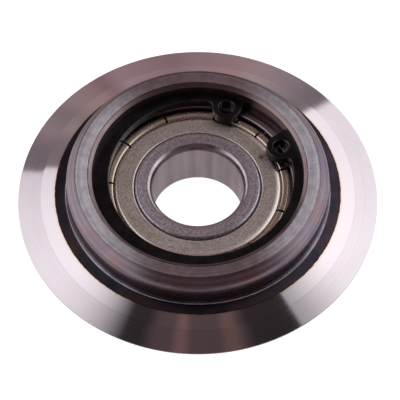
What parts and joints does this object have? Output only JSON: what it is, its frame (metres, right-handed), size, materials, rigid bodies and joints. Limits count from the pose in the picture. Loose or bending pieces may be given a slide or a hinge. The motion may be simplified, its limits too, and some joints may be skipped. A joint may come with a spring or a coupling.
{
  "type": "cam follower",
  "caption": "Steel track roller with a V-ground rim and raised hubs, turning on a shielded ball bearing held by an internal retaining ring.",
  "frame": {"origin": "centre of the wheel, on the turning axis and on the middle plane of the V rim", "axes": "+Z along the turning axis, out of the side that the bearing is fitted from; the retaining ring's gap points 48.7 degrees from +X towards +Y"},
  "size_m": [0.048, 0.048, 0.0126],
  "materials": {
    "wheel_steel": "fine-ground bevels, turned hub face, dark hardened band",
    "phosphated_spring_steel": "satin black phosphate",
    "race_steel": "ground",
    "shield_sheet": "matt grained zinc with a yellow tint",
    "cage_sheet": "pressed sheet",
    "ball_steel": "polished",
    "cage_rivet": "cold headed"
  },
  "bodies": {
    "inner_ring": {"inner_race": "race_steel"},
    "roller": {"roller_body": "wheel_steel", "retaining_ring": "phosphated_spring_steel", "outer_race": "race_steel", "upper_shield": "shield_sheet", "lower_shield": "shield_sheet"},
    "cage": {"upper_cage": "cage_sheet", "lower_cage": "cage_sheet", "cage_rivet_1": "cage_rivet", "cage_rivet_2": "cage_rivet", "cage_rivet_3": "cage_rivet", "cage_rivet_4": "cage_rivet", "cage_rivet_5": "cage_rivet", "cage_rivet_6": "cage_rivet", "cage_rivet_7": "cage_rivet", "cage_rivet_8": "cage_rivet"},
    "ball_1": {"ball_1": "ball_steel"},
    "ball_2": {"ball_2": "ball_steel"},
    "ball_3": {"ball_3": "ball_steel"},
    "ball_4": {"ball_4": "ball_steel"},
    "ball_5": {"ball_5": "ball_steel"},
    "ball_6": {"ball_6": "ball_steel"},
    "ball_7": {"ball_7": "ball_steel"},
    "ball_8": {"ball_8": "ball_steel"}
  },
  "joints": [
    {"name": "roller_spin", "type": "hinge", "parent": "inner_ring", "child": "roller", "pos_m": [0, 0, 0], "axis": [0, 0, 1], "continuous": true},
    {"name": "cage_orbit", "type": "hinge", "parent": "inner_ring", "child": "cage", "pos_m": [0, 0, -0.0008], "axis": [0, 0, 1], "continuous": true},
    {"name": "ball_1_spin", "type": "hinge", "parent": "cage", "child": "ball_1", "pos_m": [0.01, 0, -0.0008], "axis": [0, 0, 1], "continuous": true},
    {"name": "ball_2_spin", "type": "hinge", "parent": "cage", "child": "ball_2", "pos_m": [0.00707, 0.00707, -0.0008], "axis": [0, 0, 1], "continuous": true},
    {"name": "ball_3_spin", "type": "hinge", "parent": "cage", "child": "ball_3", "pos_m": [0, 0.01, -0.0008], "axis": [0, 0, 1], "continuous": true},
    {"name": "ball_4_spin", "type": "hinge", "parent": "cage", "child": "ball_4", "pos_m": [-0.00707, 0.00707, -0.0008], "axis": [0, 0, 1], "continuous": true},
    {"name": "ball_5_spin", "type": "hinge", "parent": "cage", "child": "ball_5", "pos_m": [-0.01, 0, -0.0008], "axis": [0, 0, 1], "continuous": true},
    {"name": "ball_6_spin", "type": "hinge", "parent": "cage", "child": "ball_6", "pos_m": [-0.00707, -0.00707, -0.0008], "axis": [0, 0, 1], "continuous": true},
    {"name": "ball_7_spin", "type": "hinge", "parent": "cage", "child": "ball_7", "pos_m": [0, -0.01, -0.0008], "axis": [0, 0, 1], "continuous": true},
    {"name": "ball_8_spin", "type": "hinge", "parent": "cage", "child": "ball_8", "pos_m": [0.00707, -0.00707, -0.0008], "axis": [0, 0, 1], "continuous": true}
  ],
  "couplings": [
    {"joint": "cage_orbit", "follows": "roller_spin", "ratio": 0.61905},
    {"joint": "ball_1_spin", "follows": "roller_spin", "ratio": 1.9809},
    {"joint": "ball_2_spin", "follows": "roller_spin", "ratio": 1.9809},
    {"joint": "ball_3_spin", "follows": "roller_spin", "ratio": 1.9809},
    {"joint": "ball_4_spin", "follows": "roller_spin", "ratio": 1.9809},
    {"joint": "ball_5_spin", "follows": "roller_spin", "ratio": 1.9809},
    {"joint": "ball_6_spin", "follows": "roller_spin", "ratio": 1.9809},
    {"joint": "ball_7_spin", "follows": "roller_spin", "ratio": 1.9809},
    {"joint": "ball_8_spin", "follows": "roller_spin", "ratio": 1.9809}
  ]
}
